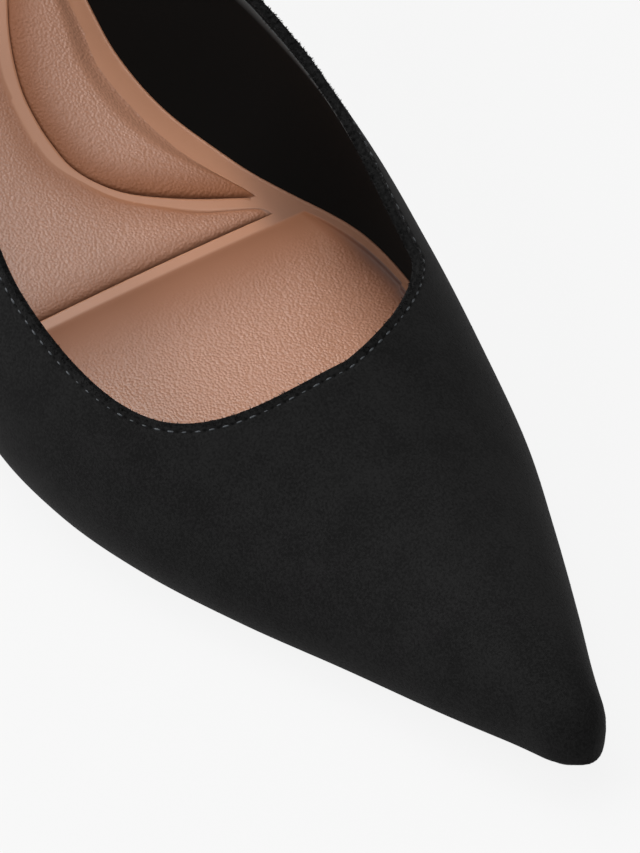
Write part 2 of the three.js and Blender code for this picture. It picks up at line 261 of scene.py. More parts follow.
# Mesh helpers
def makeMesh(name, points, faces, attributes=None, mergeDistance=0.002):
    mesh = bpy.data.meshes.new(name)
    mesh.from_pydata((np.asarray(points, float) * millimetre).tolist(), [], faces)
    for key, values in (attributes or {}).items():
        mesh.attributes.new(key, "FLOAT", "POINT").data.foreach_set("value", np.asarray(values, np.float32))
    work = bmesh.new()
    work.from_mesh(mesh)
    bmesh.ops.remove_doubles(work, verts=work.verts, dist=mergeDistance * millimetre)
    bmesh.ops.dissolve_degenerate(work, edges=work.edges, dist=mergeDistance * millimetre / 4)
    bmesh.ops.recalc_face_normals(work, faces=work.faces)
    work.to_mesh(mesh)
    work.free()
    mesh.shade_smooth()
    return mesh


def makePiece(name, mesh, material, node=None):
    piece = bpy.data.objects.new(name, mesh)
    bpy.context.scene.collection.objects.link(piece)
    mesh.materials.clear()
    mesh.materials.append(material)
    if node:
        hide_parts(node)
    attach(piece, "root")
    print("piece", name, len(mesh.polygons), "faces")
    return piece


def stripFaces(first, second, closed=True):
    # quads between two rows of vertex numbers
    total = len(first)
    ends = [(k + 1) % total for k in range(total if closed else total - 1)]
    return [(first[k], first[end], second[end], second[k]) for k, end in enumerate(ends)]


# Materials
def linearColour(hexCode):
    parts = [int(hexCode[i:i + 2], 16) / 255 for i in (1, 3, 5)]
    return [p / 12.92 if p <= 0.04045 else ((p + 0.055) / 1.055) ** 2.4 for p in parts] + [1.0]


def fillInputs(tree, node, inputs):
    # each input takes a value, or another node's socket to link from
    for name, value in inputs.items():
        if isinstance(value, bpy.types.NodeSocket):
            tree.links.new(value, node.inputs[name])
        else:
            node.inputs[name].default_value = value


def addNode(tree, kind, inputs=None, **settings):
    node = tree.nodes.new(kind)
    for name, value in settings.items():
        setattr(node, name, value)
    fillInputs(tree, node, inputs or {})
    return node


def newMaterial(name):
    material = bpy.data.materials.new(name)
    material.use_nodes = True
    return material, material.node_tree, addNode(material.node_tree, "ShaderNodeTexCoord").outputs["Object"]


def finishMaterial(material, inputs):
    fillInputs(material.node_tree, material.node_tree.nodes["Principled BSDF"], inputs)
    return material


def perMillimetre(size):
    # scale of a pattern whose features repeat about every size mm, on coordinates in metres
    return 1 / (size * millimetre)


def addNoise(tree, place, size, detail, roughness=0.5, output="Fac"):
    noiseNode = addNode(tree, "ShaderNodeTexNoise", {
        "Vector": place, "Scale": perMillimetre(size), "Detail": detail, "Roughness": roughness})
    return noiseNode.outputs[output]


def addBump(tree, height, depth, strength=1.0):
    return addNode(tree, "ShaderNodeBump", {
        "Height": height, "Distance": depth * millimetre, "Strength": strength}).outputs["Normal"]


def blend(tree, share, low, high):
    # low and high are hex colours or sockets
    low, high = (linearColour(c) if isinstance(c, str) else c for c in (low, high))
    return addNode(tree, "ShaderNodeMix", {0: share, 6: low, 7: high}, data_type="RGBA").outputs[2]


def readMark(tree, name):
    return addNode(tree, "ShaderNodeAttribute", attribute_name=name).outputs["Fac"]


suedeLook = {
    "body": "#0b0b0b",
    "napLight": "#171717",
    # painted shade in the needle holes
    "hole": "#060606",
    "sheen": "#8f8b8c",
    "napSize": 0.45,  # a real nap is about 0.1 mm, drawn as coarse as it needs to show
    "napHeight": 0.08,
    "brushSize": 9.0,
    "brushShare": 0.3,
    "roughness": 0.95,
}


def makeSuede():
    # Sueded calf: short upright nap that drinks the light, a faint sheen at grazing angles
    look = suedeLook
    material, tree, place = newMaterial("calf suede, buffed nap")
    fuzz = addNoise(tree, place, look["napSize"], 2.0, 0.6)
    brush = addNoise(tree, place, look["brushSize"], 3.0, 0.55)
    tone = addNode(tree, "ShaderNodeMix", {0: look["brushShare"], 2: fuzz, 3: brush}, data_type="FLOAT")
    shade = addNode(tree, "ShaderNodeMapRange", {
        "Value": tone.outputs[0], "From Min": 0.36, "From Max": 0.64}, interpolation_type="SMOOTHSTEP")
    colour = blend(tree, shade.outputs[0], look["body"], look["napLight"])
    return finishMaterial(material, {
        # needle holes darkened with painted shade
        "Base Color": blend(tree, readMark(tree, "needleHoleShade"), colour, look["hole"]),
        "Normal": addBump(tree, fuzz, look["napHeight"], 0.8),
        "Roughness": look["roughness"],
        "Specular IOR Level": 0.12,
        "Sheen Weight": 0.04,
        "Sheen Roughness": 0.5,
        "Sheen Tint": linearColour(look["sheen"]),
    })


footbedLook = {
    "tan": "#a77a63",
    "tanSmooth": "#b07d60",  # ribs and rim, a little warmer than the pads
    # tanDeep takes random darker clouds and the broad painted shade beside the pads' edges
    "tanDeep": "#88512f",
    # painted shade in the creases, painted shadow under the inner rim and painted shade on the rim's inner
    # corner
    "creaseShadeTone": "#34190e",
    "pebble": 0.56,
    "pebbleHeight": 0.11,
    "pore": 0.22,
    "warpSize": 2.2,
    "warpReach": 0.3,  # how far the warp pushes the pebbles out of line
    "cloudSize": 16.0,
    "cloudShare": 0.16,
    "roughness": 0.33,
    # roughness where shade is painted, so those parts lose their highlight
    "shadedRoughness": 0.7,
}


def makeFootbedLeather():
    # Polyurethane-coated split leather, moulded over foam: satin, pebbled on the pads, smooth on the ribs
    look = footbedLook
    material, tree, place = newMaterial("coated split leather, pebble grain")
    # the crease mark and the third mark carry painted shade
    grain, crease, broadShade = (readMark(tree, name) for name in ("grain", "crease", "broadShade"))
    bend = addNode(tree, "ShaderNodeVectorMath", {
        0: addNoise(tree, place, look["warpSize"], 1.0, output="Color"),
        1: (look["warpReach"] * millimetre,) * 3, 2: place}, operation="MULTIPLY_ADD")
    pebble = addNode(tree, "ShaderNodeTexVoronoi", {
        "Vector": bend.outputs[0], "Scale": perMillimetre(look["pebble"]), "Smoothness": 0.25,
        "Randomness": 0.85}, feature="SMOOTH_F1")
    dome = addNode(tree, "ShaderNodeMath", {0: pebble.outputs["Distance"], 1: -1.0}, operation="MULTIPLY")
    relief = addNode(tree, "ShaderNodeMath", {
        0: addNoise(tree, place, look["pore"], 2.0), 1: 0.12, 2: dome.outputs[0]}, operation="MULTIPLY_ADD")
    amount = addNode(tree, "ShaderNodeMapRange", {"Value": grain, "To Min": 0.04, "To Max": 1.0})
    # random clouds plus the broad painted shade pull the colour towards tanDeep
    deep = addNode(tree, "ShaderNodeMath", {
        0: addNoise(tree, place, look["cloudSize"], 2.0), 1: look["cloudShare"], 2: broadShade},
        operation="MULTIPLY_ADD", use_clamp=True)
    # where shade is painted the surface is also rougher
    shadeShare = addNode(tree, "ShaderNodeMath", {0: crease, 1: broadShade}, operation="MAXIMUM")
    gloss = addNode(tree, "ShaderNodeMapRange", {
        "Value": shadeShare.outputs[0], "To Min": look["roughness"], "To Max": look["shadedRoughness"]})
    plain = blend(tree, grain, look["tanSmooth"], look["tan"])
    darker = blend(tree, deep.outputs[0], plain, look["tanDeep"])
    return finishMaterial(material, {
        # darkest painted shade, in the creases and under the inner rim
        "Base Color": blend(tree, crease, darker, look["creaseShadeTone"]),
        "Normal": addBump(tree, relief.outputs[0], look["pebbleHeight"], amount.outputs[0]),
        "Roughness": gloss.outputs[0],
        "Specular IOR Level": 0.5,
    })


def makeLining():
    # Black polyester microfibre lining: smooth, close and nearly matt
    material, tree, place = newMaterial("microfibre lining")
    return finishMaterial(material, {
        "Base Color": blend(tree, readMark(tree, "cutEdge"), "#090807", "#454646"),
        "Normal": addBump(tree, addNoise(tree, place, 0.3, 1.0), 0.02, 0.4),
        "Roughness": 0.8,
        "Specular IOR Level": 0.1,
    })


def makeOutsole():
    # Thermoplastic polyurethane unit, injection moulded: satin black with a fine moulded texture
    material, tree, place = newMaterial("moulded polyurethane outsole")
    grit = addNoise(tree, place, 0.5, 3.0)
    wear = addNode(tree, "ShaderNodeMapRange", {"Value": grit, "To Min": 0.38, "To Max": 0.52})
    return finishMaterial(material, {
        "Base Color": blend(tree, grit, "#171615", "#201e1d"),
        "Normal": addBump(tree, grit, 0.03, 0.5),
        "Roughness": wear.outputs[0],
        "Specular IOR Level": 0.5,
    })


def makeRubber():
    # Vulcanised rubber top piece: dull, faintly speckled
    material, tree, place = newMaterial("vulcanised rubber")
    speck = addNoise(tree, place, 0.6, 4.0)
    return finishMaterial(material, {
        "Base Color": blend(tree, speck, "#121212", "#1f1e1e"),
        "Normal": addBump(tree, speck, 0.04, 0.6),
        "Roughness": 0.72,
    })


def makeThread():
    # Bonded polyester sewing thread, two plies that catch a bluish light
    material, tree, place = newMaterial("bonded polyester thread")
    return finishMaterial(material, {
        "Base Color": blend(tree, addNoise(tree, place, 0.15, 1.0), "#17191b", "#393f44"),
        "Roughness": 0.5,
        "Specular IOR Level": 0.5,
    })


suede = makeSuede()
footbedLeather = makeFootbedLeather()
liningCloth = makeLining()
outsoleResin = makeOutsole()
rubber = makeRubber()
thread = makeThread()
print("materials ready")

# Layers of the upper
upper = {
    "pitch": 2.35,  # stitch length
    "finePerStitch": 8,
    "finePerColumn": 4,
    "stitchInset": 2.3,
    "bandWidth": 5.0,
    "suedeThickness": 1.7,  # suede with its backing, folded over the edge
    "liningDrop": 2.0,  # how far the lining's cut edge lies below the folded suede edge
    "vampColumns": 44,
    "toeColumns": 7,
    "rows": 34,
}
toplineSamples = np.linspace(0, 3, 6001)
toplineCurve = lastPoint(*toplineAt(toplineSamples, 0.0))
toplineRun = np.concatenate([[0], np.cumsum(np.linalg.norm(np.diff(toplineCurve, axis=0), axis=1))])
stitchCount = round(toplineRun[-1] / upper["pitch"])
fineCount = stitchCount * upper["finePerStitch"]
finePath = np.interp(np.arange(fineCount) / fineCount * toplineRun[-1], toplineRun, toplineSamples)


def bandParameters(distances):
    # loop and run at true distances from the topline, one row for each distance
    insets = np.linspace(0, max(distances) * 1.6, 25)
    loops, runs = toplineAt(finePath[None, :], insets[:, None])
    points = lastPoint(loops, runs)
    lengths = np.linalg.norm(np.diff(points, axis=0), axis=-1)
    travelled = np.concatenate([np.zeros((1, fineCount)), np.cumsum(lengths, axis=0)])
    wanted = np.empty((len(distances), fineCount))
    for k in range(fineCount):
        wanted[:, k] = np.interp(distances, travelled[:, k], insets)
    return toplineAt(np.broadcast_to(finePath, wanted.shape), wanted)


def bodyColumns(lowLoop, lowRun):
    # closed ring of columns under the band, from the toe tip up the inner side and back down the outer side
    toe = np.linspace(0, toeArc, upper["toeColumns"] + 1)
    vamp = np.linspace(toeArc, lowLoop[0], upper["vampColumns"] + 1)[1:-1]
    front = np.concatenate([toe, vamp])
    pick = np.arange(0, fineCount, upper["finePerColumn"])
    loops = np.concatenate([front, lowLoop[pick], -lowLoop[:1], -front[:0:-1]])
    tops = np.concatenate([np.ones(len(front)), lowRun[pick], lowRun[:1], np.ones(len(front) - 1)])
    ring = np.concatenate([np.full(len(front), -1), pick, [0], np.full(len(front) - 1, -1)])
    return loops, tops, ring


def buildWall(name, outerDepth, thickness, edgeDrop, distances, relief=None, bottom=(), foldSteps=8):
    radius = thickness / 2
    innerDepth = outerDepth + thickness
    bandLoop, bandRun = bandParameters([edgeDrop + radius] + distances)
    normals = wallNormal(bandLoop, bandRun)
    surface = lastPoint(bandLoop, bandRun)
    outer = surface - normals * outerDepth
    inner = surface - normals * innerDepth
    tangent = unit(np.roll(surface[0], -1, 0) - np.roll(surface[0], 1, 0))
    away = unit(np.cross(normals[0], tangent))
    away *= np.sign(np.sum(away * (surface[1] - surface[0]), -1, keepdims=True))
    centre = surface[0] - normals[0] * (outerDepth + radius)
    turns = np.linspace(0, math.pi, foldSteps + 1)[1:-1]
    fold = [centre + radius * (math.cos(t) * normals[0] - math.sin(t) * away) for t in turns]
    hidden = list(range(0, len(inner) - 1, 4)) + [len(inner) - 1]  # the inner side needs fewer rows
    rings = list(outer[::-1]) + fold + list(inner[hidden])  # from the band's foot outside to its foot inside
    ringNormals = list(normals[::-1]) + [unit(p - centre) for p in fold] + list(-normals[hidden])
    shown = len(distances) + 1 + len(fold)  # rings that face outwards
    marks = {}
    if relief:
        inset = [np.full(fineCount, d) for d in ([edgeDrop + radius] + distances)[::-1]]
        inset += [np.full(fineCount, edgeDrop) for _ in fold]
        push, marks = relief(np.array(inset), np.array(rings), shown)
        rings = list(np.array(rings) + np.array(ringNormals) * push[..., None])
    rings = np.array(rings)
    points = [rings.reshape(-1, 3)]
    outside = [np.repeat(np.arange(len(rings)) < shown, fineCount).astype(float)]
    faces = []
    number = np.arange(rings.shape[0] * fineCount).reshape(rings.shape[0], fineCount)
    for lower, higher in zip(number[:-1], number[1:]):
        faces += stripFaces(lower.tolist(), higher.tolist())
    loops, tops, ringIndex = bodyColumns(bandLoop[-1], bandRun[-1])
    count = len(loops)
    start = number.size
    feet = []
    for depth, ringRow in ((outerDepth, 0), (innerDepth, rings.shape[0] - 1)):
        shares = np.linspace(0, 1, upper["rows"] + 1)
        runs = shares[:, None] * tops[None, :]
        runs[-1, tops >= 1] = 1.0
        body = wallPoint(np.broadcast_to(loops, runs.shape), runs, np.full(runs.shape, depth))
        points.append(body.reshape(-1, 3))
        outside.append(np.full(runs.size, float(depth == outerDepth)))
        index = start + np.arange(body.shape[0] * count).reshape(body.shape[0], count)
        start += index.size
        for lower, higher in zip(index[:-2], index[1:-1]):
            faces += stripFaces(lower.tolist(), higher.tolist())
        for k in range(count):
            following = (k + 1) % count
            low = [int(index[-2][following]), int(index[-2][k])]
            a, b = ringIndex[k], ringIndex[following]
            if a >= 0 and b >= 0 and a != b:
                end = b if b > a else fineCount
                high = [int(number[ringRow][i % fineCount]) for i in range(a, end + 1)]
            else:
                high = [int(number[ringRow][i]) if i >= 0 else int(index[-1][j])
                        for i, j in ((a, k), (b, following))]
            faces.append(low + high)
        feet.append((index[0].tolist(), body[0]))
    (outerFeet, outerFoot), (innerFeet, innerFoot) = feet
    inwards = unit((innerFoot - outerFoot) * [1, 1, 0])
    rows = [outerFeet]
    for level, down in bottom:
        points.append(outerFoot + inwards * level - np.array([0, 0, down]))
        rows.append(list(range(start, start + count)))
        start += count
    rows.append(innerFeet)
    for first, second in zip(rows[:-1], rows[1:]):
        faces += stripFaces(first, second)
    points = np.concatenate(points)
    marks["outside"] = np.concatenate(outside)
    attributes = {key: np.concatenate([values.ravel(), np.zeros(len(points) - values.size)])
                  for key, values in marks.items()}
    return makeMesh(name, points, faces, attributes)


def suedeRelief(inset, rings, shown):
    # the seam pulls the suede down, needle holes pit it, and the cut nap roughens the folded edge
    e = toplineEdge
    across = inset - upper["stitchInset"]
    along = (np.arange(fineCount) / upper["finePerStitch"] + 0.5) % 1 - 0.5
    hole = np.exp(-np.hypot(along * upper["pitch"] / e["holeLength"], across / e["holeWidth"]) ** 2)
    push = -e["seamDepth"] * np.exp(-(across / e["seamWidth"]) ** 2) - e["holeDepth"] * hole
    push += e["swell"] * np.exp(-((inset - e["swellInset"]) / e["swellWidth"]) ** 2)
    nap = np.exp(-np.maximum(inset, 0) / e["napReach"])
    rest = np.zeros((len(rings) - len(inset), fineCount))
    push, hole, nap = (np.concatenate([part, rest]) for part in (push, hole, nap))
    for j in range(shown):
        near = math.exp(-max(0.0, float(inset[min(j, len(inset) - 1), 0])) / e["roughReach"])
        for k in range(fineCount):
            spot = Vector(rings[j, k])
            push[j, k] += near * sum(rise * noise.noise(spot * pitch) for rise, pitch in e["rough"])
    # the needle hole mark is only used to paint shade into the holes
    return push, {"needleHoleShade": np.clip(hole * 1.3, 0, 1), "edgeNap": nap}


def cutEdgeMark(inset, rings, shown):
    # the lining's cut edge shows its lighter core
    mark = np.zeros(rings.shape[:2])
    mark[shown - 9:shown + 1] = 1
    return np.zeros(mark.shape), {"cutEdge": mark}


toplineEdge = {
    "seamDepth": 0.10,
    "seamWidth": 0.42,
    "holeDepth": 0.26,
    "holeLength": 0.30,
    "holeWidth": 0.22,
    "swell": 0.05,  # the fold is fullest between the seam and the edge
    "swellInset": 1.05,
    "swellWidth": 0.4,
    "napReach": 1.2,
    "rough": ((0.55, 2.1), (0.1, 0.5)),  # rise in mm and frequency of the torn nap
    "roughReach": 0.4,
}
suedeDistances = [0.8, 0.98, 1.16, 1.34, 1.5, 1.64, 1.78, 1.9, 2.02, 2.16, 2.3, 2.46, 2.66, 2.92, 3.25, 3.65,
                  4.1, 4.55, upper["bandWidth"]]
suedeBottom = ((0.08, 0.18), (0.25, 0.28), (0.5, 0.3), (upper["suedeThickness"], 0.3))
suedeMesh = buildWall("upper_suede", 0.0, upper["suedeThickness"], 0.0, suedeDistances, suedeRelief,
                      suedeBottom)
makePiece("upper_suede", suedeMesh, suede, "upper")

liningDepth = upper["suedeThickness"] + 0.02
liningMesh = buildWall("lining", liningDepth, last["wall"] - liningDepth, upper["liningDrop"],
                       [2.6, 3.4, upper["bandWidth"]], cutEdgeMark, foldSteps=6)
makePiece("upper_lining", liningMesh, liningCloth)


# What repeats is made by Geometry Nodes, then turned into a plain mesh
def newTree(name, floats):
    tree = bpy.data.node_groups.new(name, "GeometryNodeTree")
    tree.interface.new_socket("Geometry", in_out="INPUT", socket_type="NodeSocketGeometry")
    for label, value in floats.items():
        tree.interface.new_socket(label, in_out="INPUT", socket_type="NodeSocketFloat").default_value = value
    tree.interface.new_socket("Finish", in_out="INPUT", socket_type="NodeSocketMaterial")
    tree.interface.new_socket("Geometry", in_out="OUTPUT", socket_type="NodeSocketGeometry")
    return tree, addNode(tree, "NodeGroupInput").outputs


def endTree(tree, instances, finish):
    real = addNode(tree, "GeometryNodeRealizeInstances", {"Geometry": instances})
    painted = addNode(tree, "GeometryNodeSetMaterial", {"Geometry": real.outputs[0], "Material": finish})
    addNode(tree, "NodeGroupOutput", {"Geometry": painted.outputs[0]})


def namedAttribute(tree, name, kind):
    return addNode(tree, "GeometryNodeInputNamedAttribute", {"Name": name}, data_type=kind).outputs[0]


def growMesh(name, seed, tree, sizes, material):
    # run a tree on a seed mesh and keep the result as a plain mesh
    carrier = bpy.data.objects.new(name + "_seed", seed)
    bpy.context.scene.collection.objects.link(carrier)
    modifier = carrier.modifiers.new(name, "NODES")
    modifier.node_group = tree
    for item in tree.interface.items_tree:
        if item.in_out == "INPUT" and item.name in sizes:
            modifier[item.identifier] = sizes[item.name]
        if item.in_out == "INPUT" and item.name == "Finish":
            modifier[item.identifier] = material
    graph = bpy.context.evaluated_depsgraph_get()
    mesh = bpy.data.meshes.new_from_object(carrier.evaluated_get(graph))
    carrier.modifiers.remove(modifier)
    bpy.data.objects.remove(carrier)
    mesh.name = name
    mesh.shade_smooth()
    return mesh


def stitchTree():
    tree, given = newTree("stitches along a seam", {"Stitch Length": 0.0017, "Thread Width": 0.0005})
    size = addNode(tree, "ShaderNodeCombineXYZ", {
        "X": given["Stitch Length"], "Y": given["Thread Width"], "Z": given["Thread Width"]})
    ball = addNode(tree, "GeometryNodeMeshUVSphere", {"Segments": 8, "Rings": 6, "Radius": 0.5})
    lobe = addNode(tree, "GeometryNodeTransform", {
        "Geometry": ball.outputs["Mesh"], "Scale": size.outputs[0]})
    turn = addNode(tree, "FunctionNodeAxesToRotation", {
        "Primary Axis": namedAttribute(tree, "along", "FLOAT_VECTOR"),
        "Secondary Axis": namedAttribute(tree, "away", "FLOAT_VECTOR")}, primary_axis="X", secondary_axis="Z")
    uneven = addNode(tree, "FunctionNodeRandomValue", {2: 0.55, 3: 1.15, "Seed": 3}, data_type="FLOAT")
    placed = addNode(tree, "GeometryNodeInstanceOnPoints", {
        "Points": given["Geometry"], "Instance": lobe.outputs[0], "Rotation": turn.outputs[0],
        "Scale": uneven.outputs[1]})
    endTree(tree, placed.outputs[0], given["Finish"])
    return tree


seam = {
    "stitchLength": 1.25,
    "threadWidth": 0.38,
    "depth": 0.13,  # how far a stitch's centre lies below the suede's own surface
}


def buildStitches():
    middles = np.arange(stitchCount) * upper["finePerStitch"] + upper["finePerStitch"] // 2
    loops, runs = (row[0] for row in bandParameters([upper["stitchInset"]]))
    points, normals = lastPoint(loops, runs), wallNormal(loops, runs)
    along = unit(np.roll(points, -2, 0) - np.roll(points, 2, 0))
    spots = (points - normals * seam["depth"])[middles]
    seed = bpy.data.meshes.new("seam_points")
    seed.from_pydata((spots * millimetre).tolist(), [], [])
    for key, values in (("along", along[middles]), ("away", normals[middles])):
        directions = seed.attributes.new(key, "FLOAT_VECTOR", "POINT")
        directions.data.foreach_set("vector", values.astype(np.float32).ravel())
    return growMesh("topline_stitches", seed, stitchTree(), {
        "Stitch Length": seam["stitchLength"] * millimetre,
        "Thread Width": seam["threadWidth"] * millimetre,
    }, thread)


def napTree():
    tree, given = newTree("nap fibres on suede", {
        "Edge Density": 1.0, "Body Density": 1.0, "Fibre Length": 0.0004, "Fibre Width": 0.00008})
    edge, outside = (namedAttribute(tree, name, "FLOAT") for name in ("edgeNap", "outside"))
    spread = addNode(tree, "ShaderNodeMath", {
        0: edge, 1: given["Edge Density"], 2: given["Body Density"]}, operation="MULTIPLY_ADD")
    kept = addNode(tree, "ShaderNodeMath", {0: spread.outputs[0], 1: outside}, operation="MULTIPLY")
    points = addNode(tree, "GeometryNodeDistributePointsOnFaces", {
        "Mesh": given["Geometry"], "Density": kept.outputs[0], "Seed": 4})
    fibre = addNode(tree, "GeometryNodeMeshCone", {
        "Vertices": 3, "Radius Top": 0.22, "Radius Bottom": 0.5, "Depth": 1.0}, fill_type="NONE")
    size = addNode(tree, "ShaderNodeCombineXYZ", {
        "X": given["Fibre Width"], "Y": given["Fibre Width"], "Z": given["Fibre Length"]})
    shaped = addNode(tree, "GeometryNodeTransform", {
        "Geometry": fibre.outputs["Mesh"], "Scale": size.outputs[0]})
    lean = addNode(tree, "FunctionNodeRandomValue", {
        "Min": (-0.9, -0.9, -3.0), "Max": (0.9, 0.9, 3.0), "Seed": 7}, data_type="FLOAT_VECTOR")
    turned = addNode(tree, "FunctionNodeRotateRotation", {
        "Rotation": points.outputs["Rotation"], "Rotate By": lean.outputs[0]}, rotation_space="LOCAL")
    grow = addNode(tree, "FunctionNodeRandomValue", {2: 0.5, 3: 1.1, "Seed": 9}, data_type="FLOAT")
    placed = addNode(tree, "GeometryNodeInstanceOnPoints", {
        "Points": points.outputs["Points"], "Instance": shaped.outputs[0], "Rotation": turned.outputs[0],
        "Scale": grow.outputs[1]})
    endTree(tree, placed.outputs[0], given["Finish"])
    return tree


nap = {
    "edgeDensity": 12.0,  # fibres to a square millimetre at the cut edge
    "bodyDensity": 0.4,
    "length": 0.48,  # longer and thicker than real fibres, so that they show
    "width": 0.2,
}


def buildNap():
    perSquareMetre = 1e6
    return growMesh("nap_fibres", suedeMesh.copy(), napTree(), {
        "Edge Density": nap["edgeDensity"] * perSquareMetre,
        "Body Density": nap["bodyDensity"] * perSquareMetre,
        "Fibre Length": nap["length"] * millimetre,
        "Fibre Width": nap["width"] * millimetre,
    }, suede)


makePiece("topline_stitches", buildStitches(), thread)
makePiece("nap_fibres", buildNap(), suede)
print("upper ready")

# Footbed, then the curves of its padded fields, as x against y
footbed = {
    "edgeDepth": 2.03,
    "lipWidth": 0.9,
    "lipHeight": 0.15,
    "crown": 0.8,
    "archCrown": 1.4,
    "archCrest": 0.74,  # where the arch pad is highest, as a share of its width from the crisp edge
    "archWidth": 14.0,
    "tipSide": 0.8,  # a side is the distance over which a pad rises from its edge
    "fingerHeight": 0.45,
    "fingerSide": 0.35,
    "fingerBlend": 0.25,
    "seatCrown": 0.9,
    "seatSide": 4.5,
    "ribSide": 1.8,
    "notchDepth": 0.32,
    "notchWidth": 0.16,
    "crossX": 93.2,
    "crossWidth": 2.2,
    "fieldDrop": 1.8,
    "treadSide": 4.5,
    "treadSwell": 0.6,
    "rimWidth": 3.6,
    "rimSide": 0.15,
    "rimFoot": 3.4,
    "shadowWidth": (0.7, 3.1),  # dark crescent under the inner rim, at its rear end and at its front end
    "shadowDepth": (0.35, 0.95),
    "sideShadeWidth": (2.5, 6.5),
    "tipX": 88.7,
    "heelTipX": 23.0,
}
fadeX = {  # where each part comes in, from x to x
    "fingers": (70, 84),  # both pads rise to plump tips
    "archCreaseRear": (22, 28),
    "archCreaseTop": (83, 88),
    "seatCreaseTop": (82, 91),
    "shadowWidth": (95, 111),
    "shadowDepth": (95, 109),
    "sideShade": (95, 110),
    "rim": (72, 97),
}
footbedShade = {  # painted shade beside each edge, drawn as a darker tone: strength, then reach in mm
    "archEdge": (0.95, 5.5),
    "archTop": (0.1, 1.2),
    "rib": (0.45, 3.5),
    "seatEdge": (0.45, 4.0),
    "tread": (0.7, 10.0),
    "rim": 0.55,
}
archEdge = makeTable("at y", [  # crisp lower edge of the arch pad
    [21, 21.0], [24, 17.4], [28, 13.0], [33, 8.6], [38.8, 4.6], [44, 1.5], [50.4, -1.3], [54.8, -2.6],
    [60, -3.2], [65.5, -3.0], [70.3, -2.1], [74.6, 0.3], [78.5, 4.0], [81.6, 8.7], [84.5, 14.1], [88.6, 23.4],
])
archTop = makeTable("at y", [  # soft upper edge of the arch pad
    [21, 21.8], [24, 19.9], [28, 17.9], [33, 16.2], [38, 15.0], [42.7, 14.4], [48.7, 13.7], [56, 12.7],
    [60.9, 13.3], [65.6, 14.4], [71.2, 15.9], [76.2, 17.7], [80.5, 20.0], [84.9, 22.6], [88.6, 24.6],
])
seatEdge = makeTable("at y", [  # soft upper edge of the middle pad, just below the arched rib
    [21, 18.2], [24, 14.4], [28, 10.3], [33, 6.0], [38.8, 2.0], [44, -1.2], [50.4, -4.2], [55.6, -5.1],
    [61.2, -5.6], [67.9, -5.1], [73.4, -2.0], [79.2, 2.4], [83.6, 8.1], [87.6, 14.3], [91.6, 24.3],
    [93.2, 25.2],
])
treadEdge = makeTable("at y", [  # inner boundary of the forefoot pad
    [93.2, 28.6], [95.1, 30.4], [98.5, 32.6], [102.3, 34.4], [106.2, 35.7], [111, 36.7], [116.6, 37.2],
])
edgeLift = makeTable("at inner outer", [  # height of the footbed's edge above the feather line
    [0.00, 2.0, 2.0],
    [0.10, 3.0, 3.0],
    [0.20, 4.3, 4.3],
    [0.30, 5.6, 5.6],
    [0.40, 6.6, 6.4],
    [0.445, 6.8, 6.6],
    [0.512, 6.9, 6.6],
    [0.547, 6.4, 6.4],
    [0.602, 5.7, 6.2],
    [0.65, 4.8, 6.0],
    [0.69, 5.1, 6.0],
    [0.728, 6.2, 6.0],
    [0.80, 6.2, 6.0],
    [1.00, 5.6, 5.6],
])


def sideValue(table, loop):
    side, back, _ = stationAt(loop)
    at = back / last["length"]
    return np.where(side > 0, readTable(table, "inner", at), readTable(table, "outer", at))


def footbedEdge(loop):
    run = runAtHeight(loop, sideValue(edgeLift, loop))
    return wallPoint(loop, run, np.full(loop.shape, footbed["edgeDepth"]))


def curveAt(table, x):
    return readTable(table, "y", np.clip(x, table["at"][0], table["at"][-1]))


def distanceTo(table, x, y):
    # signed distance to a curve, positive above it
    knots = np.linspace(table["at"][0], table["at"][-1], 160)
    line = np.stack([knots, curveAt(table, knots)], -1)
    start, step = line[:-1], np.diff(line, axis=0)
    out = np.empty(x.shape)
    for row in range(x.shape[0]):
        spot = np.stack([x[row], y[row]], -1)[:, None, :]
        t = np.clip(np.sum((spot - start) * step, -1) / np.sum(step * step, -1), 0, 1)
        out[row] = np.min(np.linalg.norm(spot - start - t[..., None] * step, axis=-1), axis=1)
    return out * np.where(y > curveAt(table, x), 1, -1)


def softMinimum(distances, blend):
    return -blend * np.log(sum(np.exp(-d / blend) for d in distances))


